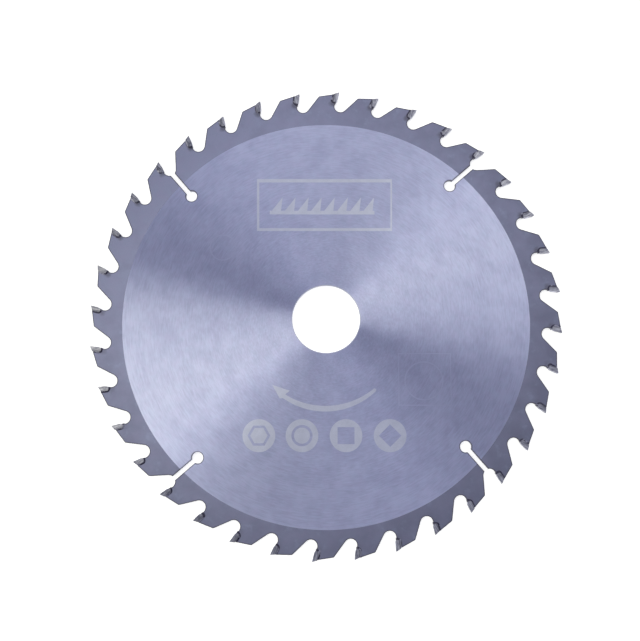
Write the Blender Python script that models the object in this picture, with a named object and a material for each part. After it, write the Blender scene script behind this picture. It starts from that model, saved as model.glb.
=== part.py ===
"""A circular saw blade with brazed carbide tips, 210 mm across, for a 30 mm arbor.

The blade lies flat. Its arbor axis is Z, the origin is the centre of the bore at the middle of the
plate, and it cuts clockwise when seen from +Z. Lengths are in metres and angles in degrees.

A tooth is drawn in its own flat frame. Its cutting edge is at (0, blade radius), u runs along the
cutting direction and v runs outwards. Inside a tooth, the seat and the tip are placed by two distances
from the cutting edge: how far down the rake face a point lies, and how far behind that face.
"""

import math

import bmesh
import bpy
from mathutils import Matrix, Vector

# Blade and bore
BLADE_DIAMETER = 0.210
BORE_DIAMETER = 0.030
BORE_CHAMFER = 0.0003
PLATE_THICKNESS = 0.0018
GROUND_MARGIN = 0.0051
GROUND_SHIFT = -0.0012

# Teeth
TOOTH_COUNT = 36
FIRST_TOOTH_ANGLE = 6.67
HOOK_ANGLE = 12.0
BACK_LENGTH = 0.0093
BACK_DROP = 0.0004
BACK_ANGLE = 11.9
SHOULDER_RADIUS = 0.0005
SEAT_DEPTH = 0.0053
BRAZE_JOINT = 0.0003
THROAT_SETBACK = 0.00053
THROAT_ANGLE = 18.0
THROAT_LENGTH = 0.0006
GULLET_RADIUS = 0.0028

# Carbide tips
TIP_OVERHANG = 0.0004
TIP_THICKNESS = 0.0021
TIP_CORNER_RADIUS = 0.0009
HEEL_LENGTH = 0.0014
TOP_CLEARANCE = 17.0
TOP_BEVEL = 7.0
SIDE_CLEARANCE = 1.0
REAR_CLEARANCE = 2.5

# Expansion slots
SLOT_COUNT = 4
FIRST_SLOT_TOOTH = 4
SLOT_WIDTH = 0.0020
SLOT_LEAN = 5.6
SLOT_MOUTH_OFFSET = -0.0006
SLOT_HOLE_DIAMETER = 0.0050
SLOT_LENGTH = 0.0131

# How finely round shapes are drawn
BORE_FACETS = 72
GROUND_FACETS = 144
GULLET_FACETS = 12
SHOULDER_FACETS = 3
CORNER_FACETS = 4
SLOT_HOLE_FACETS = 24

# Colour, roughness and metallic value
GROUND_STEEL = ((0.52, 0.53, 0.66), 0.32, 1.0)
BLASTED_STEEL = ((0.19, 0.20, 0.27), 0.62, 1.0)
CARBIDE = ((0.31, 0.31, 0.38), 0.38, 1.0)

BLADE_RADIUS = BLADE_DIAMETER / 2
KERF = PLATE_THICKNESS + 2 * TIP_OVERHANG
TOOTH_PITCH = math.radians(360 / TOOTH_COUNT)
HOOK = math.radians(HOOK_ANGLE)
CUTTER_OVERRUN = 2 * PLATE_THICKNESS
WELD_DISTANCE = 1e-6
SMOOTHING_ANGLE = math.radians(30)


def clear_scene():
    for item in list(bpy.data.objects):
        bpy.data.objects.remove(item, do_unlink=True)


def make_material(name, finish):
    colour, roughness, metallic = finish
    material = bpy.data.materials.new(name)
    material.use_nodes = True
    shader = material.node_tree.nodes["Principled BSDF"]
    shader.inputs["Base Color"].default_value = (*colour, 1)
    shader.inputs["Roughness"].default_value = roughness
    shader.inputs["Metallic"].default_value = metallic
    material.diffuse_color = (*colour, 1)
    return material


def tooth_angle(index):
    """The direction of a tooth's cutting edge, anticlockwise from +X in radians."""
    return math.radians(FIRST_TOOTH_ANGLE) + index * TOOTH_PITCH


def on_blade(u, v, index):
    """A point of a tooth's flat frame as a point of the blade."""
    angle = tooth_angle(index)
    outward = Vector((math.cos(angle), math.sin(angle)))
    ahead = Vector((math.sin(angle), -math.cos(angle)))
    return v * outward + u * ahead


def from_cutting_edge(down, behind):
    """The tooth-frame point that lies this far down the rake face and this far behind it."""
    u = -down * math.sin(HOOK) - behind * math.cos(HOOK)
    v = BLADE_RADIUS - down * math.cos(HOOK) + behind * math.sin(HOOK)
    return Vector((u, v))


def back_line(u):
    """The height of the tooth body's sloping back at u."""
    return BLADE_RADIUS - BACK_DROP + u * math.tan(math.radians(BACK_ANGLE))


def seat_top():
    """Where the seat's rear wall runs out through the tooth's back."""
    behind = TIP_THICKNESS + BRAZE_JOINT
    foot = from_cutting_edge(0, behind)
    rise = Vector((math.sin(HOOK), math.cos(HOOK)))
    slope = math.tan(math.radians(BACK_ANGLE))
    reach = (back_line(foot.x) - foot.y) / (rise.y - slope * rise.x)
    return foot + reach * rise


def gullet_centre():
    """The gullet's circle touches the throat, the short wall that runs down from the seat."""
    corner = from_cutting_edge(SEAT_DEPTH, THROAT_SETBACK)
    throat = math.radians(THROAT_ANGLE)
    down = Vector((-math.sin(throat), -math.cos(throat)))
    ahead = Vector((math.cos(throat), -math.sin(throat)))
    return corner + THROAT_LENGTH * down + GULLET_RADIUS * ahead


def ground_radius():
    """The ground field ends a margin inside the bottoms of the gullets."""
    return gullet_centre().length - GULLET_RADIUS - GROUND_MARGIN


def turned(point, angle):
    return Matrix.Rotation(angle, 2) @ point


def shoulder_ahead():
    """The shoulder of the tooth ahead, where its back ends, in this tooth's frame."""
    corner = Vector((-BACK_LENGTH, back_line(-BACK_LENGTH)))
    return turned(corner, -TOOTH_PITCH)


def flank_normal_angle():
    """The angle, seen from the gullet's centre, at which its circle runs out into the flank ahead."""
    to_shoulder = shoulder_ahead() - gullet_centre()
    bearing = math.atan2(to_shoulder.y, to_shoulder.x)
    return bearing - math.acos(GULLET_RADIUS / to_shoulder.length)


def arc(centre, radius, start, end, facets):
    """Points along an arc, both ends included."""
    steps = (start + (end - start) * i / facets for i in range(facets + 1))
    return [centre + radius * Vector((math.cos(a), math.sin(a))) for a in steps]


def gullet_arc():
    start = math.pi - math.radians(THROAT_ANGLE)
    end = flank_normal_angle() + 2 * math.pi
    return arc(gullet_centre(), GULLET_RADIUS, start, end, GULLET_FACETS)


def shoulder_arc():
    """The rounded corner between the flank and the back of the tooth ahead."""
    corner = shoulder_ahead()
    along_flank = (gullet_arc()[-1] - corner).normalized()
    back = math.radians(BACK_ANGLE) - TOOTH_PITCH
    along_back = Vector((math.cos(back), math.sin(back)))
    half = along_flank.angle(along_back) / 2
    middle = (along_flank + along_back).normalized()
    centre = corner + SHOULDER_RADIUS / math.sin(half) * middle
    reach = SHOULDER_RADIUS / math.tan(half)
    start = corner + reach * along_flank - centre
    end = corner + reach * along_back - centre
    first = math.atan2(start.y, start.x)
    last = math.atan2(end.y, end.x)
    return arc(centre, SHOULDER_RADIUS, first, last, SHOULDER_FACETS)


def foot_corner(radius):
    """The rounded rear foot of a tip, or of its seat, from the foot to the rear, as distances down and
    behind. Both turn about one centre, so the joint between them stays even."""
    down = SEAT_DEPTH - BRAZE_JOINT - TIP_CORNER_RADIUS
    behind = TIP_THICKNESS - TIP_CORNER_RADIUS
    return arc(Vector((down, behind)), radius, 0, math.pi / 2, CORNER_FACETS)


def tooth_outline():
    """One tooth of the plate, from the top of its seat to the shoulder of the tooth ahead."""
    rounding = foot_corner(TIP_CORNER_RADIUS + BRAZE_JOINT)
    seat_corner = [from_cutting_edge(p.x, p.y) for p in reversed(rounding)]
    throat_corner = from_cutting_edge(SEAT_DEPTH, THROAT_SETBACK)
    return [seat_top(), *seat_corner, throat_corner, *gullet_arc(), *shoulder_arc()]


def plate_outline():
    """All the teeth, clockwise."""
    outline = tooth_outline()
    return [on_blade(p.x, p.y, -index) for index in range(TOOTH_COUNT) for p in outline]


def circle(centre, radius, facets):
    return arc(Vector(centre), radius, 0, 2 * math.pi, facets)[:-1]


def add_loop(mesh, points, height=0.0):
    """A closed ring of vertices and edges."""
    verts = [mesh.verts.new((p.x, p.y, height)) for p in points]
    edges = [mesh.edges.new((a, b)) for a, b in zip(verts, verts[1:] + verts[:1])]
    return verts, edges


def new_object(name, mesh, materials):
    data = bpy.data.meshes.new(name)
    mesh.to_mesh(data)
    mesh.free()
    for material in materials:
        data.materials.append(material)
    item = bpy.data.objects.new(name, data)
    bpy.context.collection.objects.link(item)
    return item


def plate_blank(materials):
    """The toothed disc with no holes. The ground field is a face of its own inside the blasted rim."""
    mesh = bmesh.new()
    _, outline_edges = add_loop(mesh, plate_outline())
    border = circle((0, GROUND_SHIFT), ground_radius(), GROUND_FACETS)
    ground_verts, ground_edges = add_loop(mesh, border)
    filled = bmesh.ops.triangle_fill(mesh, use_beauty=True, edges=outline_edges + ground_edges)
    for face in (f for f in filled["geom"] if isinstance(f, bmesh.types.BMFace)):
        face.material_index = 1
    mesh.faces.new(ground_verts)
    bmesh.ops.recalc_face_normals(mesh, faces=mesh.faces)
    plate = new_object("blade_plate", mesh, materials)
    shell = plate.modifiers.new("plate_thickness", "SOLIDIFY")
    shell.thickness = PLATE_THICKNESS
    shell.offset = 0
    shell.material_offset_rim = 1
    return plate


def bore_cutter():
    """A turned cutter with the bore's wall and a cone for the chamfer at each face."""
    wall = BORE_DIAMETER / 2
    face = PLATE_THICKNESS / 2
    end = face + CUTTER_OVERRUN
    mouth = wall + BORE_CHAMFER + CUTTER_OVERRUN
    chamfered = face - BORE_CHAMFER
    upper = [(wall, chamfered), (mouth, end), (0, end)]
    profile = [(radius, -height) for radius, height in reversed(upper)] + upper
    mesh = bmesh.new()
    verts = [mesh.verts.new((radius, 0, height)) for radius, height in profile]
    edges = [mesh.edges.new(pair) for pair in zip(verts, verts[1:])]
    bmesh.ops.spin(
        mesh,
        geom=verts + edges,
        cent=(0, 0, 0),
        axis=(0, 0, 1),
        angle=2 * math.pi,
        steps=BORE_FACETS,
        use_merge=True,
    )
    bmesh.ops.remove_doubles(mesh, verts=mesh.verts, dist=WELD_DISTANCE)
    bmesh.ops.recalc_face_normals(mesh, faces=mesh.faces)
    return new_object("bore_cutter", mesh, [])


def slot_mouth(index):
    """Where a slot's centre line crosses the bottom of its gullet."""
    centre = gullet_centre()
    return on_blade(centre.x + SLOT_MOUTH_OFFSET, centre.y - GULLET_RADIUS, index)


def slot_outline(index):
    """A keyhole: a round hole in the plate and a straight slot that runs out through the gullet."""
    mouth = slot_mouth(index)
    outward = turned(mouth.normalized(), -math.radians(SLOT_LEAN))
    hole = mouth - SLOT_LENGTH * outward
    across = Vector((-outward.y, outward.x))
    bearing = math.atan2(outward.y, outward.x)
    opening = math.asin(SLOT_WIDTH / SLOT_HOLE_DIAMETER)
    start = bearing + opening
    end = bearing + 2 * math.pi - opening
    rim = arc(hole, SLOT_HOLE_DIAMETER / 2, start, end, SLOT_HOLE_FACETS)
    far = mouth + GULLET_RADIUS * outward
    side = SLOT_WIDTH / 2 * across
    return rim + [far - side, far + side]


def slot_cutter(index):
    mesh = bmesh.new()
    height = PLATE_THICKNESS / 2 + CUTTER_OVERRUN
    verts, _ = add_loop(mesh, slot_outline(index), -height)
    face = mesh.faces.new(verts)
    raised = bmesh.ops.extrude_face_region(mesh, geom=[face], use_keep_orig=True)["geom"]
    lifted = [v for v in raised if isinstance(v, bmesh.types.BMVert)]
    bmesh.ops.translate(mesh, verts=lifted, vec=(0, 0, 2 * height))
    bmesh.ops.recalc_face_normals(mesh, faces=mesh.faces)
    return new_object(f"slot_cutter_{index:02d}", mesh, [])


def cut(plate, cutter):
    cutter.hide_render = True
    cutter.display_type = "WIRE"
    boolean = plate.modifiers.new(cutter.name, "BOOLEAN")
    boolean.operation = "DIFFERENCE"
    boolean.solver = "EXACT"
    boolean.object = cutter


def make_cuts_final(plate):
    """Keeps the cut shape as the plate's own mesh, shades its round walls smooth and drops the cutters."""
    graph = bpy.context.evaluated_depsgraph_get()
    plate_mesh = bpy.data.meshes.new_from_object(plate.evaluated_get(graph))
    cutters = [m.object for m in plate.modifiers if m.type == "BOOLEAN"]
    plate.modifiers.clear()
    plate.data = plate_mesh
    plate_mesh.shade_smooth()
    plate_mesh.set_sharp_from_angle(angle=SMOOTHING_ANGLE)
    for cutter in cutters:
        bpy.data.objects.remove(cutter, do_unlink=True)


def make_plate(ground_steel, blasted_steel):
    plate = plate_blank([ground_steel, blasted_steel])
    cut(plate, bore_cutter())
    for number in range(SLOT_COUNT):
        tooth = FIRST_SLOT_TOOTH + round(number * TOOTH_COUNT / SLOT_COUNT)
        cut(plate, slot_cutter(tooth))
    make_cuts_final(plate)


def half_width(down, behind):
    """Half the tip's width. It is widest at the cutting edge and narrows down and back."""
    side = math.tan(math.radians(SIDE_CLEARANCE))
    rear = math.tan(math.radians(REAR_CLEARANCE))
    return KERF / 2 - side * down - rear * behind


def down_to_top(behind, high):
    """How far down the bevelled top lies, on the tip's high or low side."""
    clearance = math.tan(math.radians(TOP_CLEARANCE))
    bevel = math.tan(math.radians(TOP_BEVEL))
    side = math.tan(math.radians(SIDE_CLEARANCE))
    rear = math.tan(math.radians(REAR_CLEARANCE))
    sign = 1 if high else -1
    fall = math.sin(HOOK) + clearance * math.cos(HOOK) + sign * bevel * rear
    drop = 0 if high else bevel * KERF
    steepness = math.cos(HOOK) - clearance * math.sin(HOOK) - sign * bevel * side
    return (fall * behind + drop) / steepness


def tip_side(high):
    """One side of the tip: cutting corner, end of the rake face, heel, rounded rear foot and rear top."""
    foot = SEAT_DEPTH - BRAZE_JOINT
    heel_setback = THROAT_SETBACK * (1 - BRAZE_JOINT / HEEL_LENGTH)
    return [
        (down_to_top(0, high), 0),
        (SEAT_DEPTH - HEEL_LENGTH, 0),
        (foot, heel_setback),
        *foot_corner(TIP_CORNER_RADIUS),
        (down_to_top(TIP_THICKNESS, high), TIP_THICKNESS),
    ]


def make_tip(index, carbide):
    """One carbide tip. The high corner of its top is on +Z and on -Z by turns."""
    mesh = bmesh.new()
    high_side = 1 if index % 2 == 0 else -1
    rings = []
    for sign in (1, -1):
        ring = []
        for down, behind in tip_side(sign == high_side):
            flat = from_cutting_edge(down, behind)
            place = on_blade(flat.x, flat.y, index)
            ring.append(mesh.verts.new((place.x, place.y, sign * half_width(down, behind))))
        rings.append(ring)
        mesh.faces.new(ring)
    upper, lower = rings
    for i in range(len(upper)):
        mesh.faces.new((upper[i - 1], upper[i], lower[i], lower[i - 1]))
    bmesh.ops.recalc_face_normals(mesh, faces=mesh.faces)
    return new_object(f"carbide_tip_{index + 1:02d}", mesh, [carbide])


def main():
    clear_scene()
    ground_steel = make_material("ground_steel", GROUND_STEEL)
    blasted_steel = make_material("blasted_steel", BLASTED_STEEL)
    carbide = make_material("carbide", CARBIDE)
    make_plate(ground_steel, blasted_steel)
    for index in range(TOOTH_COUNT):
        make_tip(index, carbide)


main()
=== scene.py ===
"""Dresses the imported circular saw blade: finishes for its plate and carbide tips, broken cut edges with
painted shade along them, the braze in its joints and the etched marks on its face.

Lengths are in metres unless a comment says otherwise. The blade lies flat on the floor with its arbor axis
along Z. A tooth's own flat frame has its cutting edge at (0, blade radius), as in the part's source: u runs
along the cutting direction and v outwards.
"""

import math

import bmesh
import bpy
from mathutils import Euler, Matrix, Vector


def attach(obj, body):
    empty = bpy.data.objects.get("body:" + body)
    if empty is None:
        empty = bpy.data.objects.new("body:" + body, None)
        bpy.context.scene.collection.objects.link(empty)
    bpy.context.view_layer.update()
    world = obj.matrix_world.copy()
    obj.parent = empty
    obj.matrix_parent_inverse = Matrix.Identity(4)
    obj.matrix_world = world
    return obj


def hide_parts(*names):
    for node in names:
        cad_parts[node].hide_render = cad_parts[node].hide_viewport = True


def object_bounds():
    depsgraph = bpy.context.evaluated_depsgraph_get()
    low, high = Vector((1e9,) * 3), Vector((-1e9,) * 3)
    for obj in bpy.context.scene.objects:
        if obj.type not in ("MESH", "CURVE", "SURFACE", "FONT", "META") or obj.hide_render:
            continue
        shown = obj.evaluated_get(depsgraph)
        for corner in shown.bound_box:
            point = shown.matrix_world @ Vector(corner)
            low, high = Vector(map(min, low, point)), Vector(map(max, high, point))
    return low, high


# Sizes shared with the part's source
BLADE_RADIUS = 0.105
BORE_RADIUS = 0.015
BORE_CHAMFER = 0.0003
HALF_PLATE = 0.0009
TOOTH_COUNT = 36
FIRST_TOOTH_TURN = math.radians(6.67)
HOOK = math.radians(12.0)
SEAT_DEPTH = 0.0053
BRAZE_JOINT = 0.0003
THROAT_SETBACK = 0.00053
TIP_THICKNESS = 0.0021
TIP_CORNER_RADIUS = 0.0009
HEEL_LENGTH = 0.0014

# Worked out from them: where the tip's foot lies, and the way of the throat below it
FOOT_DEPTH = SEAT_DEPTH - BRAZE_JOINT
FOOT_SETBACK = THROAT_SETBACK * (1 - BRAZE_JOINT / HEEL_LENGTH)
THROAT_LEAN = math.atan2(THROAT_SETBACK, HEEL_LENGTH)

# The ground field, a little off the blade's middle
GROUND_SHIFT = -0.0011
GROUND_RADIUS = 0.0904

# The cut edges' break, and how far the painted shade along them fades inside it
EDGE_BREAK = 0.00012
EDGE_DROP = 0.00008
TINT_WIDTH = 0.00036

# The rounder bore and the border of the ground field
BORE_FACETS = 180
BORDER_FACETS = 360

# The braze: its fillet's section as how far out from the tip and how high, and how far down the tip it
# starts. Then its bead's section as a share of the bead's radius and how high, and how far down and behind
# the end of the tip's foot the bead's middle lies. Braze is burnt darkest on the teeth round DARKEST_TURN, and
# on the teeth away from it more bare braze shows as a painted glint.
FILLET_SECTION = (
    (-0.00005, 0.00110),
    (0.00020, 0.00105),
    (0.00038, 0.00098),
    (0.00062, 0.000915),
    (0.00074, 0.00088),
    (0.00033, 0.00084),
)
FILLET_START = 0.00155
BEAD_PROFILE = (
    (0.33, -0.00110),
    (0.75, -0.00105),
    (1.00, -0.00093),
    (1.00, 0.00093),
    (0.75, 0.00105),
    (0.33, 0.00110),
)
BEAD_OUT = (0.00016, 0.00038)
BEAD_FACETS = 20
DARKEST_TURN = math.radians(20)

# The photograph's view: where the camera is, and its turn in degrees
CAMERA_PLACE = (-0.002927, -0.045817, 0.366088)
CAMERA_TURN = (7.05, -0.04, 0.055)
LENS_MM = 46.59

# The light round the blade: azimuths in degrees from +X, and how bright it is there, from 0 to 1. Dim cards
# are bluish and bright ones warmer. Low down a plain pale wall takes their place: wholly in directions with
# a Z under WALL_LOW, and not at all above WALL_TOP. LIGHT is the strength of both.
CARDS = (
    (-180, 0.90), (-165, 1.00), (-150, 0.80), (-146, 0.68), (-140, 0.12), (-128, 0.10), (-120, 0.07),
    (-95, 0.11), (-65, 0.15), (-50, 0.21), (-40, 0.10), (-10, 0.07), (0, 0.18), (12, 0.34), (30, 0.36),
    (38, 0.34), (47, 0.46), (58, 0.56), (75, 0.55), (100, 0.57), (125, 0.40), (140, 0.14), (148, 0.14),
    (154, 0.08), (158, 0.55), (162, 0.95), (172, 0.90), (180, 0.90),
)
LIGHT = 2.11
DIM_TINT = (0.728, 0.774, 1.0)
BRIGHT_TINT = (1.0, 0.993, 0.743)
WALL_LEVEL = 0.45
WALL_LOW, WALL_TOP = 0.20, 0.45

# The etched marks on the face, in millimetres
FRAME_OUTER = ((-31.33, 63.89), (29.85, 63.96), (29.63, 39.92), (-31.09, 39.85))
FRAME_INNER = ((-30.25, 62.30), (29.10, 62.37), (28.90, 41.22), (-30.03, 41.15))
BADGE_CENTRES = ((-29.32, -51.27), (-10.53, -51.25), (8.69, -51.23), (27.92, -51.21))
BADGE_RADIUS = 7.15
FAINT_LEFT = (-46.27, 32.29)
FAINT_RIGHT = (43.0, -27.3)
FAINT_BOX = (31.7, 55.1, -38.2, -15.1)
FAINT_LINE = 0.45
MARK_PROUD = 0.010
FAINT_PROUD = 0.004

# The floor: half its width, and its own glow
FLOOR_REACH = 3.0
FLOOR_GLOW = 0.7

# Units, tolerances and how many sides a small circle has
MM = 0.001
WELD = 1e-6
NEAR = 1e-5
FLAT = 0.9
ROUND = 64

# The plate's materials, in the order of their slots
GROUND_FIELD, BLASTED_RIM, CUT_WALL, BORE_WALL = range(4)


def tooth_turn(index):
    return FIRST_TOOTH_TURN + index * 2 * math.pi / TOOTH_COUNT


def from_cutting_edge(down, behind):
    """The point in a tooth's own frame that lies this far down the rake face and this far behind it."""
    u = -down * math.sin(HOOK) - behind * math.cos(HOOK)
    v = BLADE_RADIUS - down * math.cos(HOOK) + behind * math.sin(HOOK)
    return u, v


# Node helpers


class Nodes:
    """A short way to write a material's nodes. A call adds the nodes it needs and returns their output."""

    def __init__(self, name, metallic=1.0, roughness=0.5, anisotropic=0.0):
        self.material = bpy.data.materials.new(name)
        self.material.use_nodes = True
        self.tree = self.material.node_tree
        self.shader = self.tree.nodes["Principled BSDF"]
        self.shader.inputs["Metallic"].default_value = metallic
        self.shader.inputs["Roughness"].default_value = roughness
        self.shader.inputs["Anisotropic"].default_value = anisotropic

    def add(self, kind, inputs=(), output=0, **settings):
        node = self.tree.nodes.new(kind)
        for key, value in settings.items():
            setattr(node, key, value)
        for key, value in dict(inputs).items():
            self.plug(value, node.inputs[key])
        return node.outputs[output]

    def plug(self, value, socket):
        if isinstance(value, bpy.types.NodeSocket):
            self.tree.links.new(value, socket)
        else:
            socket.default_value = value

    def math(self, operation, a, b=0.0):
        return self.add("ShaderNodeMath", {0: a, 1: b}, operation=operation)

    def vector(self, operation, a, b=(0, 0, 0), output=0):
        return self.add("ShaderNodeVectorMath", {0: a, 1: b}, output, operation=operation)

    def scaled(self, a, factor):
        return self.add("ShaderNodeVectorMath", {0: a, "Scale": factor}, operation="SCALE")

    def place(self):
        return self.add("ShaderNodeTexCoord", output="Object")

    def weighted(self, *terms):
        """The sum of values, each times its weight."""
        total = self.math("MULTIPLY", *terms[0])
        for value, weight in terms[1:]:
            total = self.math("ADD", total, self.math("MULTIPLY", value, weight))
        return total

    def noise(self, vector, scale, detail=2.0, roughness=0.5):
        inputs = {"Vector": vector, "Scale": scale, "Detail": detail, "Roughness": roughness}
        return self.add("ShaderNodeTexNoise", inputs)

    def wavering(self, value, scale, detail, amount):
        """The value, made larger and smaller from place to place, by up to half this amount."""
        noise = self.noise(self.place(), scale, detail, 0.6)
        return self.math("ADD", value, self.math("MULTIPLY", self.math("SUBTRACT", noise, 0.5), amount))

    def remap(self, value, low, high, to_low=0.0, to_high=1.0):
        inputs = {"Value": value, "From Min": low, "From Max": high, "To Min": to_low, "To Max": to_high}
        return self.add("ShaderNodeMapRange", inputs)

    def blend(self, share, first, second):
        return self.add("ShaderNodeMix", {0: share, 6: first, 7: second}, 2, data_type="RGBA")

    def flat_length(self, vector):
        """How long a vector is, seen from above."""
        return self.vector("LENGTH", self.vector("MULTIPLY", vector, (1, 1, 0)), output="Value")

    def along(self, direction):
        """How far a point lies from the blade's middle in this direction of its own piece."""
        return self.vector("DOT_PRODUCT", self.place(), direction, output="Value")

    def brush(self):
        """Spreads reflections out from the bore, across the grooves that run round it."""
        outward = self.vector("NORMALIZE", self.vector("MULTIPLY", self.place(), (1, 1, 0)))
        settings = {"vector_type": "VECTOR", "convert_from": "OBJECT", "convert_to": "WORLD"}
        tangent = self.add("ShaderNodeVectorTransform", {0: outward}, **settings)
        self.plug(tangent, self.shader.inputs["Tangent"])

    def carried(self, name):
        """A value that the mesh carries under this name."""
        return self.add("ShaderNodeAttribute", output="Fac", attribute_name=name)

    def with_edge_shade(self, colour, edge_shade_colour):
        """Darkens a colour towards the cut edges, where the mesh carries the tint: painted shade along the
        edges.
        """
        return self.blend(self.math("POWER", self.carried("tint"), 0.6), colour, edge_shade_colour)

    def mottled(self, colour, scale):
        """The colour, a little redder and a little greener in patches."""
        patches = self.remap(self.noise(self.place(), scale, 2.0, 0.6), 0.3, 0.7)
        hue = self.blend(patches, rgba(1.016, 0.990, 1.0), rgba(0.984, 1.010, 1.0))
        return self.vector("MULTIPLY", colour, hue)

    def bump(self, height, strength, distance):
        inputs = {"Height": height, "Strength": strength, "Distance": distance}
        self.plug(self.add("ShaderNodeBump", inputs, output="Normal"), self.shader.inputs["Normal"])

    def finish(self, colour, roughness=None):
        self.plug(colour, self.shader.inputs["Base Color"])
        if roughness is not None:
            self.plug(roughness, self.shader.inputs["Roughness"])
        return self.material


def rgba(red, green, blue):
    return (red, green, blue, 1.0)


# Materials


def field_place(nodes):
    """A point's place from the middle of the ground field."""
    return nodes.vector("SUBTRACT", nodes.place(), (0, GROUND_SHIFT, 0))


def field_radius(nodes):
    return nodes.flat_length(field_place(nodes))


def ring_coordinates(nodes, arc_count, per_metre):
    """Coordinates for noise drawn out along circles round the middle of the ground field, with no seam."""
    flat = nodes.vector("MULTIPLY", field_place(nodes), (1, 1, 0))
    heading = nodes.scaled(nodes.vector("NORMALIZE", flat), arc_count)
    outward = nodes.add("ShaderNodeCombineXYZ", {"Z": nodes.math("MULTIPLY", field_radius(nodes), per_metre)})
    return nodes.vector("ADD", heading, outward)


def tooth_place(nodes):
    """How far down a tooth's rake face a point lies and how far behind it, for the tooth that it is on."""
    split = nodes.tree.nodes.new("ShaderNodeSeparateXYZ")
    nodes.plug(nodes.place(), split.inputs[0])
    turn = nodes.math("SUBTRACT", nodes.math("ARCTAN2", split.outputs[1], split.outputs[0]), tooth_turn(0))
    # A tooth's own stretch runs from a fifth of a pitch ahead of its cutting edge to four fifths behind it
    pitch = 2 * math.pi / TOOTH_COUNT
    turn = nodes.add("ShaderNodeMath", {0: turn, 1: 0.8 * pitch, 2: -0.2 * pitch}, operation="WRAP")
    radius = nodes.flat_length(nodes.place())
    u = nodes.math("MULTIPLY", nodes.math("MULTIPLY", nodes.math("SINE", turn), radius), -1.0)
    sunk = nodes.math("SUBTRACT", BLADE_RADIUS, nodes.math("MULTIPLY", nodes.math("COSINE", turn), radius))
    place = nodes.add("ShaderNodeCombineXYZ", {"X": u, "Y": sunk})
    down = nodes.vector("DOT_PRODUCT", place, (-math.sin(HOOK), math.cos(HOOK), 0), output="Value")
    behind = nodes.vector("DOT_PRODUCT", place, (-math.cos(HOOK), -math.sin(HOOK), 0), output="Value")
    return down, behind


def flux_stain(nodes, centre, inner, outer):
    """A soft stain round a place on every tooth, 1 in its middle, with a ragged border. The place is given as
    how far down the rake face it lies and how far behind it."""
    down, behind = tooth_place(nodes)
    place = nodes.add("ShaderNodeCombineXYZ", {"X": down, "Y": behind})
    away = nodes.flat_length(nodes.vector("SUBTRACT", place, (*centre, 0)))
    return nodes.remap(nodes.wavering(away, 420.0, 3.0, 0.0022), outer, inner)


def ground_steel():
    """Concentrically ground steel: it reflects in a bow tie, because its fine grooves run round the bore."""
    nodes = Nodes("ground_steel", anisotropic=1.0)
    nodes.brush()
    grooves = nodes.noise(ring_coordinates(nodes, 5, 12000), 1.0, 2.0, 0.6)
    fine = nodes.noise(ring_coordinates(nodes, 12, 3200), 1.0, 3.0, 0.6)
    dashes = nodes.noise(ring_coordinates(nodes, 20, 1500), 1.0, 2.0, 0.5)
    clouds = nodes.noise(nodes.place(), 110.0, 3.0, 0.6)
    share = nodes.weighted((fine, 0.20), (dashes, 0.38), (clouds, 0.42))
    outward = nodes.remap(field_radius(nodes), 0.02, GROUND_RADIUS, -0.12, 0.18)
    # Painted highlight: a lighter band just inside the border of the ground field, where its edge would catch
    # the light
    border = nodes.remap(field_radius(nodes), GROUND_RADIUS - 0.0012, GROUND_RADIUS - 0.0004, 0.0, 0.12)
    share = nodes.math("ADD", nodes.remap(share, 0.37, 0.63), nodes.math("ADD", outward, border))
    share = nodes.math("ADD", share, nodes.remap(grooves, 0.3, 0.7, -0.30, 0.30))
    colour = nodes.blend(share, rgba(0.400, 0.416, 0.660), rgba(0.525, 0.546, 0.815))
    colour = nodes.mottled(colour, 330.0)
    roughness = nodes.remap(fine, 0.3, 0.7, 0.30, 0.37)
    nodes.bump(nodes.math("ADD", fine, grooves), 0.05, 0.00002)
    # The cut edges get painted shade in this dark colour
    return nodes.finish(nodes.with_edge_shade(colour, rgba(0.13, 0.13, 0.20)), roughness)


def blasted_steel():
    """The rim that the grinding left out: matte and grainy, with painted light that makes it palest at the
    upper left, a little darker towards the teeth, and stained by flux under each tip, more on the upper teeth:
    on the lower teeth the stain is kept faint as a painted glint of the braze."""
    nodes = Nodes("blasted_steel", anisotropic=0.4)
    nodes.brush()
    grain = nodes.noise(nodes.place(), 3200.0, 2.0, 0.6)
    patches = nodes.noise(nodes.place(), 110.0, 4.0, 0.6)
    wisps = nodes.noise(nodes.place(), 260.0, 3.0, 0.55)
    # Painted light: the rim is made lighter towards the upper left, here and in the next lines, as if a broad
    # light fell from there
    painted_light_upper_left = nodes.along((-0.76, 0.65, 0))
    share = nodes.weighted((grain, 0.30), (patches, 0.45), (nodes.remap(painted_light_upper_left, -0.1, 0.1), 0.28))
    share = nodes.math("ADD", share, nodes.remap(painted_light_upper_left, 0.05, 0.095, 0.0, 0.13))
    share = nodes.math("ADD", share, nodes.remap(wisps, 0.58, 0.70, 0.0, 0.12))
    fade = nodes.remap(field_radius(nodes), 0.089, 0.1035, 0.0, 0.25)
    share = nodes.math("SUBTRACT", nodes.remap(share, 0.25, 0.75), fade)
    colour = nodes.blend(share, rgba(0.220, 0.227, 0.352), rgba(0.357, 0.369, 0.565))
    colour = nodes.mottled(colour, 260.0)
    stain = flux_stain(nodes, (0.0059, 0.0017), 0.0006, 0.0019)
    # Painted glint: the flux stain is kept faint on the lower teeth, where their braze shines, and strong on
    # the upper teeth
    strength = nodes.remap(nodes.along((0, 1, 0)), -0.05, 0.03, 0.10, 0.60)
    colour = nodes.blend(nodes.math("MULTIPLY", stain, strength), colour, rgba(0.12, 0.115, 0.155))
    roughness = nodes.remap(grain, 0.3, 0.7, 0.52, 0.66)
    nodes.bump(grain, 0.25, 0.00003)
    # The cut edges get painted shade in this dark colour
    return nodes.finish(nodes.with_edge_shade(colour, rgba(0.10, 0.10, 0.135)), roughness)


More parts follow.
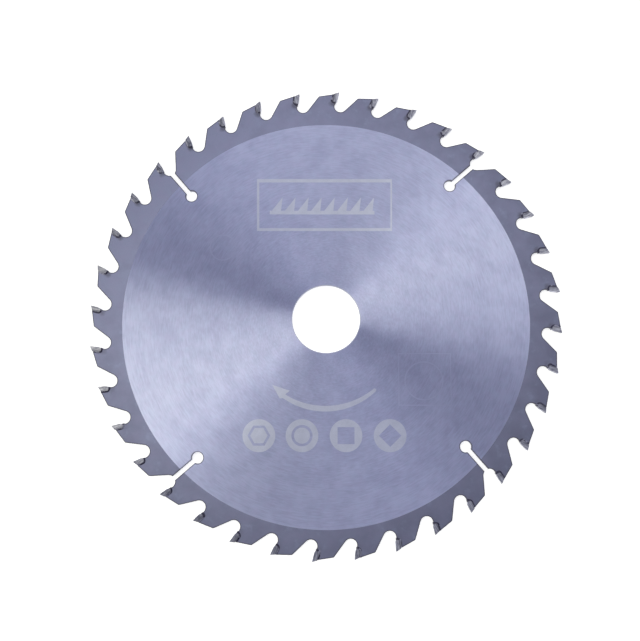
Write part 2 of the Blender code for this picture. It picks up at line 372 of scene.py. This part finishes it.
def cut_edge():
    """The laser-cut wall: dark, with fine stripes through the plate's thickness."""
    nodes = Nodes("cut_edge", metallic=0.9)
    stripes = nodes.noise(nodes.vector("MULTIPLY", nodes.place(), (5200, 5200, 350)), 1.0, 2.0, 0.6)
    colour = nodes.blend(nodes.remap(stripes, 0.3, 0.7), rgba(0.13, 0.13, 0.165), rgba(0.27, 0.27, 0.32))
    nodes.bump(stripes, 0.4, 0.00004)
    return nodes.finish(colour, nodes.remap(stripes, 0.3, 0.7, 0.42, 0.6))


def turned_steel():
    """The reamed wall of the bore and its chamfers: bright, with turning lines round the axis."""
    nodes = Nodes("turned_steel")
    lines = nodes.noise(nodes.vector("MULTIPLY", nodes.place(), (30, 30, 14000)), 1.0, 2.0, 0.6)
    colour = nodes.blend(nodes.remap(lines, 0.3, 0.7), rgba(0.42, 0.43, 0.50), rgba(0.62, 0.63, 0.70))
    nodes.bump(lines, 0.15, 0.00001)
    return nodes.finish(colour, nodes.remap(lines, 0.3, 0.7, 0.22, 0.34))


def carbide():
    """Ground tungsten carbide: grey, with pale and dark streaks out along the tip, stained at its joint."""
    nodes = Nodes("ground_carbide", anisotropic=0.8)
    nodes.brush()
    lines = nodes.noise(ring_coordinates(nodes, 260, 260), 1.0, 3.0, 0.6)
    stains = nodes.noise(nodes.place(), 620.0, 3.0, 0.6)
    share = nodes.weighted((lines, 0.7), (stains, 0.3))
    colour = nodes.blend(nodes.remap(share, 0.40, 0.62), rgba(0.165, 0.165, 0.235), rgba(0.560, 0.560, 0.680))
    down, behind = tooth_place(nodes)
    behind = nodes.wavering(behind, 90.0, 2.0, 0.0030)
    joint = nodes.math("MAXIMUM", nodes.remap(behind, 0.0012, 0.0022), nodes.remap(down, 0.0045, SEAT_DEPTH))
    colour = nodes.blend(nodes.math("MULTIPLY", joint, 0.62), colour, rgba(0.10, 0.10, 0.14))
    nodes.bump(lines, 0.12, 0.00001)
    return nodes.finish(colour, nodes.remap(stains, 0.3, 0.7, 0.30, 0.46))


def braze():
    """Braze, burnt dark under the tip's foot and in patches behind the tip. The patches differ from tooth to
    tooth, by the number that the mesh carries, and where the second value that it carries is high more metal
    is
    bare: a painted glint on the teeth away from DARKEST_TURN."""
    nodes = Nodes("braze", metallic=0.75)
    blotches = nodes.noise(nodes.place(), 1500.0, 3.0, 0.6)
    tone = nodes.remap(blotches, 0.35, 0.65)
    burnt = nodes.blend(tone, rgba(0.028, 0.026, 0.058), rgba(0.092, 0.088, 0.142))
    bare = nodes.blend(tone, rgba(0.235, 0.235, 0.340), rgba(0.350, 0.350, 0.480))
    inputs = {"Vector": nodes.place(), "W": nodes.carried("tooth"), "Scale": 420.0, "Detail": 2.0}
    patches = nodes.add("ShaderNodeTexNoise", inputs, noise_dimensions="4D")
    behind_tip = nodes.remap(nodes.along((1, 0, 0)), 0.1002, 0.1014)
    gain = nodes.remap(behind_tip, 0.0, 1.0, 0.03, 0.12)
    patches = nodes.math("ADD", patches, nodes.math("MULTIPLY", nodes.carried("bare_and_glint"), gain))
    patches = nodes.math("SUBTRACT", patches, nodes.remap(behind_tip, 0.0, 1.0, 0.05, 0.01))
    colour = nodes.blend(nodes.remap(patches, 0.53, 0.60), burnt, bare)
    nodes.bump(blotches, 0.5, 0.00008)
    return nodes.finish(colour, nodes.remap(blotches, 0.3, 0.7, 0.35, 0.6))


def etched(name, dark, light):
    """Etched steel: the grooves still show through it, and it is paler and more neutral than the field."""
    nodes = Nodes(name, anisotropic=1.0)
    nodes.brush()
    grain = nodes.noise(nodes.place(), 2600.0, 2.0, 0.6)
    clouds = nodes.noise(nodes.place(), 260.0, 3.0, 0.6)
    share = nodes.weighted((grain, 0.4), (clouds, 0.6))
    colour = nodes.blend(nodes.remap(share, 0.35, 0.65), dark, light)
    nodes.bump(grain, 0.2, 0.00002)
    return nodes.finish(colour, nodes.remap(grain, 0.3, 0.7, 0.32, 0.40))


# Plate


def new_piece(name, data):
    """An object of this name in the scene."""
    piece = bpy.data.objects.new(name, data)
    bpy.context.collection.objects.link(piece)
    return piece


def evaluated_mesh(item):
    graph = bpy.context.evaluated_depsgraph_get()
    return bpy.data.meshes.new_from_object(item.evaluated_get(graph))


def ground_disc():
    """A short drum, taller than the plate, whose side is the border of the ground field."""
    mesh = bmesh.new()
    bmesh.ops.create_cone(
        mesh,
        cap_ends=True,
        segments=BORDER_FACETS,
        radius1=GROUND_RADIUS,
        radius2=GROUND_RADIUS,
        depth=8 * HALF_PLATE,
    )
    bmesh.ops.translate(mesh, verts=mesh.verts, vec=(0, GROUND_SHIFT, 0))
    data = bpy.data.meshes.new("ground_disc")
    mesh.to_mesh(data)
    mesh.free()
    return new_piece("ground_disc", data)


def split_by_disc(source):
    """The plate's skin with the border of the ground field cut into both faces."""
    disc = ground_disc()
    joined = bmesh.new()
    for region, operation in ((GROUND_FIELD, "INTERSECT"), (BLASTED_RIM, "DIFFERENCE")):
        half = new_piece("plate_half", source.copy())
        boolean = half.modifiers.new("border", "BOOLEAN")
        boolean.operation = operation
        boolean.solver = "EXACT"
        boolean.object = disc
        part = evaluated_mesh(half)
        part.materials.clear()
        # An empty slot for each of the two regions
        part.materials.append(None)
        part.materials.append(None)
        part.polygons.foreach_set("material_index", [region] * len(part.polygons))
        joined.from_mesh(part)
        bpy.data.objects.remove(half, do_unlink=True)
    bpy.data.objects.remove(disc, do_unlink=True)
    walls = [f for f in joined.faces if abs(f.normal.z) < 0.5 and all(on_border(v.co) for v in f.verts)]
    bmesh.ops.delete(joined, geom=walls, context="FACES")
    bmesh.ops.remove_doubles(joined, verts=joined.verts, dist=WELD)
    return joined


def on_border(point):
    return abs(math.hypot(point.x, point.y - GROUND_SHIFT) - GROUND_RADIUS) < NEAR


def plate_region(face):
    """The slot of a face's material. The flat faces have theirs from the split by the disc."""
    if abs(face.normal.z) > FLAT:
        return face.material_index
    return BORE_WALL if near_bore(face.calc_center_median()) else CUT_WALL


def plate_outline(source):
    """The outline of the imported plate's top face, anticlockwise, as points."""
    mesh = bmesh.new()
    mesh.from_mesh(source)
    bmesh.ops.remove_doubles(mesh, verts=mesh.verts, dist=WELD)
    mesh.normal_update()
    # A dict keeps the faces in the mesh's own order, so that the outline starts at the same point each run
    flat = dict.fromkeys(f for f in mesh.faces if f.normal.z > FLAT)
    after = {}
    for corner in (c for f in flat for c in f.loops):
        if not near_bore(corner.vert.co) and not all(f in flat for f in corner.edge.link_faces):
            after[corner.vert] = corner.link_loop_next.vert
    first = here = next(iter(after))
    outline = []
    while here is not first or not outline:
        outline.append(here.co.xy.copy())
        here = after[here]
    mesh.free()
    return outline


def near_bore(point):
    """Whether a point lies within a millimetre of the bore."""
    return math.hypot(point.x, point.y) < BORE_RADIUS + MM


def moved_in(outline, width):
    """The outline moved this far into the plate. Where two points would pass each other, they meet."""
    moved = []
    for before, here, ahead in zip(outline[-1:] + outline[:-1], outline, outline[1:] + outline[:1]):
        first, second = (here - before).normalized(), (ahead - here).normalized()
        middle = Vector((-first.y - second.y, first.x + second.x))
        moved.append(here + middle * (2 * width / middle.length_squared))
    for i in range(len(outline)):
        if (moved[i] - moved[i - 1]).dot(outline[i] - outline[i - 1]) <= 0:
            moved[i] = moved[i - 1] = (moved[i] + moved[i - 1]) / 2
    return moved


def ring_verts(mesh, points, height):
    """A vertex for each point. A point in the same place as the one before it shares its vertex."""
    verts = []
    for i, point in enumerate(points):
        if i and (point - points[i - 1]).length < WELD:
            verts.append(verts[-1])
        else:
            verts.append(mesh.verts.new((point.x, point.y, height)))
    return verts


def join_rings(mesh, near, far):
    """A band of faces between two rings."""
    for i in range(len(near)):
        corners = dict.fromkeys((near[i - 1], near[i], far[i], far[i - 1]))
        if len(corners) > 2:
            mesh.faces.new(tuple(corners))


def ring_edges(mesh, ring):
    pairs = [(near, far) for near, far in zip(ring, ring[1:] + ring[:1]) if near is not far]
    return [mesh.edges.get(pair) or mesh.edges.new(pair) for pair in pairs]


def plate_skin(source):
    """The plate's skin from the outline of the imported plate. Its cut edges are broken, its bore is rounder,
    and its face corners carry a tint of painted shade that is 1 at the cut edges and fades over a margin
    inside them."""
    outline = plate_outline(source)
    mesh = bmesh.new()
    margins = [outline, moved_in(outline, EDGE_BREAK), moved_in(outline, EDGE_BREAK + TINT_WIDTH)]
    rims, shaded_edge_verts = [], set()
    for side in (1, -1):
        heights = (HALF_PLATE - EDGE_DROP, HALF_PLATE, HALF_PLATE)
        rings = [ring_verts(mesh, points, side * height) for points, height in zip(margins, heights)]
        wall, mouth = circle_points(BORE_RADIUS), circle_points(BORE_RADIUS + BORE_CHAMFER)
        bore = [
            ring_verts(mesh, wall, side * (HALF_PLATE - BORE_CHAMFER)),
            ring_verts(mesh, mouth, side * HALF_PLATE),
        ]
        for near, far in ((rings[0], rings[1]), (rings[1], rings[2]), (bore[0], bore[1])):
            join_rings(mesh, near, far)
        edges = ring_edges(mesh, rings[2]) + ring_edges(mesh, bore[1])
        bmesh.ops.triangle_fill(mesh, use_beauty=True, edges=edges)
        rims.append((rings[0], bore[0]))
        # These vertices carry the painted shade along the cut edges
        shaded_edge_verts.update(rings[0] + rings[1])
    for upper, lower in zip(*rims):
        join_rings(mesh, upper, lower)
    bmesh.ops.recalc_face_normals(mesh, faces=mesh.faces)
    tint = mesh.loops.layers.float.new("tint")
    for face in mesh.faces:
        for corner in face.loops:
            corner[tint] = 1.0 if corner.vert in shaded_edge_verts else 0.0
    skin = bpy.data.meshes.new("plate_skin")
    mesh.to_mesh(skin)
    mesh.free()
    return skin


def circle_points(radius):
    """The bore's circle, or its chamfer's, as points."""
    turns = (2 * math.pi * i / BORE_FACETS for i in range(BORE_FACETS))
    return [Vector((radius * math.cos(a), radius * math.sin(a))) for a in turns]


def dress_plate(frame):
    mesh = split_by_disc(plate_skin(frame["nodes"]["blade_plate"].data))
    mesh.normal_update()
    for face in mesh.faces:
        face.material_index = plate_region(face)
        face.smooth = face.material_index in (CUT_WALL, BORE_WALL)
    data = bpy.data.meshes.new("saw_plate")
    mesh.to_mesh(data)
    mesh.free()
    for material in (ground_steel(), blasted_steel(), cut_edge(), turned_steel()):
        data.materials.append(material)
    data.set_sharp_from_angle(angle=math.radians(30))
    piece = new_piece("saw_plate", data)
    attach(piece, "root")
    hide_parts("blade_plate")


def dress_tips(frame):
    finish = carbide()
    for name, node in frame["nodes"].items():
        if name.startswith("carbide_tip_"):
            node.data.materials.clear()
            node.data.materials.append(finish)


# Braze


def joint_path():
    """Points down the tip's rear wall, round its rear foot and along its foot, each with the way out of the
    joint there, as (down, behind) pairs."""
    down, behind = FOOT_DEPTH - TIP_CORNER_RADIUS, TIP_THICKNESS - TIP_CORNER_RADIUS
    rear_middle, foot_middle, corner_steps = 0.0030, 0.0008, 6
    path = [((FILLET_START, TIP_THICKNESS), (0, 1)), ((rear_middle, TIP_THICKNESS), (0, 1))]
    for step in range(corner_steps + 1):
        turn = math.pi / 2 * step / corner_steps
        way = (math.sin(turn), math.cos(turn))
        path.append(((down + TIP_CORNER_RADIUS * way[0], behind + TIP_CORNER_RADIUS * way[1]), way))
    along_throat = (math.cos(THROAT_LEAN), math.sin(THROAT_LEAN))
    return path + [((FOOT_DEPTH, foot_middle), (1, 0)), ((FOOT_DEPTH, FOOT_SETBACK), along_throat)]


def closed_skin(mesh, rings):
    """Joins rings of as many vertices each into one closed skin."""
    count = len(rings[0])
    for near, far in zip(rings, rings[1:]):
        for i in range(count):
            mesh.faces.new((near[i], near[(i + 1) % count], far[(i + 1) % count], far[i]))
    mesh.faces.new(rings[0][::-1])
    mesh.faces.new(rings[-1])


def fillet_reach(index, share):
    """How widely a tooth's fillet spreads over the plate, this share of the way along its joint."""
    wave = 0.28 * math.sin(5 * share + 2.4 * index)
    widening = 0.50 + 0.30 * math.sin(1.7 * index)
    return 0.80 + wave + widening * share


def add_fillet(mesh, index):
    """The braze in the joint, with a fillet on both faces that spreads over the plate, wider on some teeth.
    What lies in the joint keeps its width."""
    path = joint_path()
    in_joint = BRAZE_JOINT * 1.15
    rings = []
    for number, (start, way) in enumerate(path):
        reach = fillet_reach(index, number / (len(path) - 1))
        ring = []
        for side, section in ((1, FILLET_SECTION), (-1, FILLET_SECTION[::-1])):
            for out, height in section:
                spread = out if out < in_joint else out * reach
                u, v = from_cutting_edge(start[0] + way[0] * spread, start[1] + way[1] * spread)
                ring.append(mesh.verts.new((v, -u, side * height)))
        rings.append(ring)
    closed_skin(mesh, rings)


def add_bead(mesh, index):
    """A round bead of braze that fills the joint's mouth at the heel, larger on some teeth."""
    u, v = from_cutting_edge(FOOT_DEPTH + BEAD_OUT[0], FOOT_SETBACK + BEAD_OUT[1])
    width = (0.52 + 0.09 * math.sin(2.9 * index)) * MM
    rings = []
    for share, height in BEAD_PROFILE:
        ring = []
        for step in range(BEAD_FACETS):
            turn = 2 * math.pi * step / BEAD_FACETS
            spot = (v + share * width * math.cos(turn), -u + share * width * math.sin(turn), height)
            ring.append(mesh.verts.new(spot))
        rings.append(ring)
    closed_skin(mesh, rings)


def braze_mesh(index):
    """The braze of one tooth, for a tooth whose cutting edge is on +X. Its face corners carry the tooth's
    number and how much bare braze it shows as a painted glint, from 0 to 1."""
    mesh = bmesh.new()
    add_fillet(mesh, index)
    add_bead(mesh, index)
    bmesh.ops.recalc_face_normals(mesh, faces=mesh.faces)
    bare_and_glint = mesh.loops.layers.float.new("bare_and_glint")
    tooth = mesh.loops.layers.float.new("tooth")
    # Painted glint: the teeth away from DARKEST_TURN get more bare, bright braze
    amount = 0.5 - 0.5 * math.cos(tooth_turn(index) - DARKEST_TURN)
    for face in mesh.faces:
        face.smooth = True
        for corner in face.loops:
            corner[bare_and_glint] = amount
            corner[tooth] = index
    data = bpy.data.meshes.new("braze")
    mesh.to_mesh(data)
    mesh.free()
    data.set_sharp_from_angle(angle=math.radians(50))
    return data


def dress_joints():
    finish = braze()
    for index in range(TOOTH_COUNT):
        data = braze_mesh(index)
        data.materials.append(finish)
        piece = new_piece(f"braze_{index + 1:02d}", data)
        piece.rotation_euler.z = tooth_turn(index)
        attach(piece, "root")


# Marks


def disc_points(centre, radius, count=ROUND, start=0.0):
    steps = (math.radians(start) + 2 * math.pi * i / count for i in range(count))
    return [(centre[0] + radius * math.cos(a), centre[1] + radius * math.sin(a)) for a in steps]


def box_points(left, right, low, high):
    return [(left, low), (right, low), (right, high), (left, high)]


def box_line(left, right, low, high, width):
    """A thin rectangle drawn as a line."""
    inner = box_points(left + width, right - width, low + width, high - width)
    return [box_points(left, right, low, high), inner]


def flat_mark(name, outlines, material, proud=MARK_PROUD):
    """A thin skin on the top face. Its outlines are in millimetres, and one inside another is a hole."""
    curve = bpy.data.curves.new(name, "CURVE")
    curve.dimensions = "2D"
    curve.fill_mode = "BOTH"
    curve.extrude = proud * MM
    for points in outlines:
        spline = curve.splines.new("POLY")
        spline.points.add(len(points) - 1)
        for place, (x, y) in zip(spline.points, points):
            place.co = (x * MM, y * MM, 0, 1)
        spline.use_cyclic_u = True
    drawn = new_piece(name + "_curve", curve)
    data = evaluated_mesh(drawn)
    bpy.data.objects.remove(drawn, do_unlink=True)
    mesh = bmesh.new()
    mesh.from_mesh(data)
    bmesh.ops.remove_doubles(mesh, verts=mesh.verts, dist=WELD)
    bmesh.ops.translate(mesh, verts=mesh.verts, vec=(0, 0, HALF_PLATE))
    bmesh.ops.recalc_face_normals(mesh, faces=mesh.faces)
    for face in mesh.faces:
        face.smooth = False
    mesh.to_mesh(data)
    mesh.free()
    data.materials.clear()
    data.materials.append(material)
    piece = new_piece(name, data)
    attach(piece, "root")


def arrow_outline():
    """A curved arrow that shows the way the blade turns. Its angles are in degrees round its own centre."""
    centre, radius, end_radius = (-0.38, -6.64), 32.91, 0.75
    tail, neck = 311.2, 236.6
    inner_barb, apex, outer_barb = (238.2, 29.5), (224.0, 32.4), (235.0, 34.8)
    steps, cap_steps = 48, 8

    def at(angle, distance):
        angle = math.radians(angle)
        return centre[0] + distance * math.cos(angle), centre[1] + distance * math.sin(angle)

    def half_width(angle):
        share = (tail - angle) / (tail - neck)
        return end_radius + 0.2 * share + 0.4 * math.sin(math.pi * share)

    bend = [tail + (neck - tail) * i / steps for i in range(steps + 1)]
    inner = [at(a, radius - half_width(a)) for a in bend]
    outer = [at(a, radius + half_width(a)) for a in bend]
    end = at(tail, radius)
    turns = [math.radians(tail + 180 - 180 * i / cap_steps) for i in range(1, cap_steps)]
    cap = [(end[0] + end_radius * math.cos(a), end[1] + end_radius * math.sin(a)) for a in turns]
    head = [at(*inner_barb), at(*apex), at(*outer_barb)]
    return inner + head + outer[::-1] + cap[::-1]


def saw_row():
    """A plain bar with a row of saw teeth, in the frame."""
    left, right, low, base, top, count = -25.4, 21.8, 47.5, 49.2, 55.4, 8
    foot, point, heel = 0.16, 0.97, 0.86
    pitch = (right - left) / count
    teeth = []
    for i in range(count):
        x = left + i * pitch
        teeth += [(x + foot * pitch, base), (x + point * pitch, top), (x + heel * pitch, base)]
    return [(left, low), (left, base)] + teeth + [(right, base), (right, low)]


def ring_shape(centre, outer, inner, sides=ROUND):
    """A ring round a centre, or with few sides a polygon's outline."""
    return [disc_points(centre, outer, sides), disc_points(centre, inner, sides)]


def dress_marks():
    mark = etched("etched_steel", rgba(0.60, 0.62, 0.80), rgba(0.69, 0.71, 0.90))
    faint = etched("faint_etch", rgba(0.490, 0.508, 0.762), rgba(0.540, 0.560, 0.822))
    flat_mark("etched_frame", [FRAME_OUTER, FRAME_INNER], mark)
    flat_mark("etched_saw_row", [saw_row()], mark)
    flat_mark("etched_arrow", [arrow_outline()], mark)
    shapes = (
        ring_shape(BADGE_CENTRES[0], 5.0, 3.8, sides=6),
        ring_shape(BADGE_CENTRES[1], 4.6, 3.5),
        [disc_points(BADGE_CENTRES[2], 5.2, 4, start=45)],
        [disc_points(BADGE_CENTRES[3], 4.9, 4)],
    )
    for number, (centre, shape) in enumerate(zip(BADGE_CENTRES, shapes), 1):
        flat_mark(f"etched_badge_{number}", [disc_points(centre, BADGE_RADIUS, 72)] + shape, mark)
    flat_mark("faint_ring_left", ring_shape(FAINT_LEFT, 6.0, 5.4), faint, FAINT_PROUD)
    flat_mark("faint_ring_right", ring_shape(FAINT_RIGHT, 8.6, 8.0), faint, FAINT_PROUD)
    flat_mark("faint_box_right", box_line(*FAINT_BOX, FAINT_LINE), faint, FAINT_PROUD)


# Floor, light and view


def make_floor():
    """Plain pale paper under the blade, at the height that the blade rests on."""
    mesh = bmesh.new()
    bmesh.ops.create_grid(mesh, x_segments=1, y_segments=1, size=FLOOR_REACH)
    data = bpy.data.meshes.new("floor")
    mesh.to_mesh(data)
    mesh.free()
    floor = bpy.data.objects.new("floor", data)
    floor.location.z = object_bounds()[0][2]
    bpy.context.collection.objects.link(floor)
    paper = Nodes("pale_floor", metallic=0.0, roughness=0.9)
    paper.shader.inputs["Emission Color"].default_value = rgba(1, 1, 1)
    paper.shader.inputs["Emission Strength"].default_value = FLOOR_GLOW
    data.materials.append(paper.finish(rgba(0.85, 0.85, 0.85)))


def card_colour(level):
    """The colour of a card this bright."""
    tint = [dim + (bright - dim) * level for dim, bright in zip(DIM_TINT, BRIGHT_TINT)]
    return rgba(*(level * part for part in tint))


def make_light():
    """A pale wall all round, and above it broad soft cards at the azimuths where the ground steel shines."""
    world = bpy.data.worlds.new("studio")
    world.use_nodes = True
    tree = world.node_tree
    way = tree.nodes.new("ShaderNodeTexCoord").outputs["Generated"]
    split = tree.nodes.new("ShaderNodeSeparateXYZ")
    tree.links.new(way, split.inputs[0])
    turn = tree.nodes.new("ShaderNodeMath")
    turn.operation = "ARCTAN2"
    tree.links.new(split.outputs["Y"], turn.inputs[0])
    tree.links.new(split.outputs["X"], turn.inputs[1])
    share = tree.nodes.new("ShaderNodeMapRange")
    share.inputs["From Min"].default_value = -math.pi
    share.inputs["From Max"].default_value = math.pi
    tree.links.new(turn.outputs[0], share.inputs["Value"])
    ramp = tree.nodes.new("ShaderNodeValToRGB")
    tree.links.new(share.outputs[0], ramp.inputs["Fac"])
    stops = ramp.color_ramp.elements
    for number, (azimuth, level) in enumerate(CARDS):
        place = (azimuth + 180) / 360
        stop = stops[number] if number < 2 else stops.new(place)
        stop.position = place
        stop.color = card_colour(level)
    height = tree.nodes.new("ShaderNodeMapRange")
    height.interpolation_type = "SMOOTHSTEP"
    height.inputs["From Min"].default_value = WALL_LOW
    height.inputs["From Max"].default_value = WALL_TOP
    tree.links.new(split.outputs["Z"], height.inputs["Value"])
    light = tree.nodes.new("ShaderNodeMix")
    light.data_type = "RGBA"
    light.inputs[6].default_value = rgba(WALL_LEVEL, WALL_LEVEL, WALL_LEVEL)
    tree.links.new(height.outputs[0], light.inputs[0])
    tree.links.new(ramp.outputs["Color"], light.inputs[7])
    sky = tree.nodes["Background"]
    tree.links.new(light.outputs[2], sky.inputs["Color"])
    sky.inputs["Strength"].default_value = LIGHT
    bpy.context.scene.world = world
    bpy.context.scene.view_settings.view_transform = "Standard"


def make_camera():
    lens = bpy.data.cameras.new("camera")
    lens.lens = LENS_MM
    lens.clip_start = 0.01
    camera = bpy.data.objects.new("camera", lens)
    camera.location = CAMERA_PLACE
    camera.rotation_euler = Euler([math.radians(a) for a in CAMERA_TURN])
    bpy.context.collection.objects.link(camera)
    bpy.context.scene.camera = camera


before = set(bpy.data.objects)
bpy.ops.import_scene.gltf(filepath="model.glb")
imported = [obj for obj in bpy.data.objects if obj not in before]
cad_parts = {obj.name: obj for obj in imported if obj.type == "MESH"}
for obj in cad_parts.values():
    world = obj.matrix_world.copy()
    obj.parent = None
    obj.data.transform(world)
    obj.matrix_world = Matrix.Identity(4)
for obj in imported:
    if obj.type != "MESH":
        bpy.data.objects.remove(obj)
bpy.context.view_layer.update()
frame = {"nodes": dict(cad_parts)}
make_camera()
make_light()
make_floor()
dress_plate(frame)
dress_tips(frame)
dress_joints()
dress_marks()
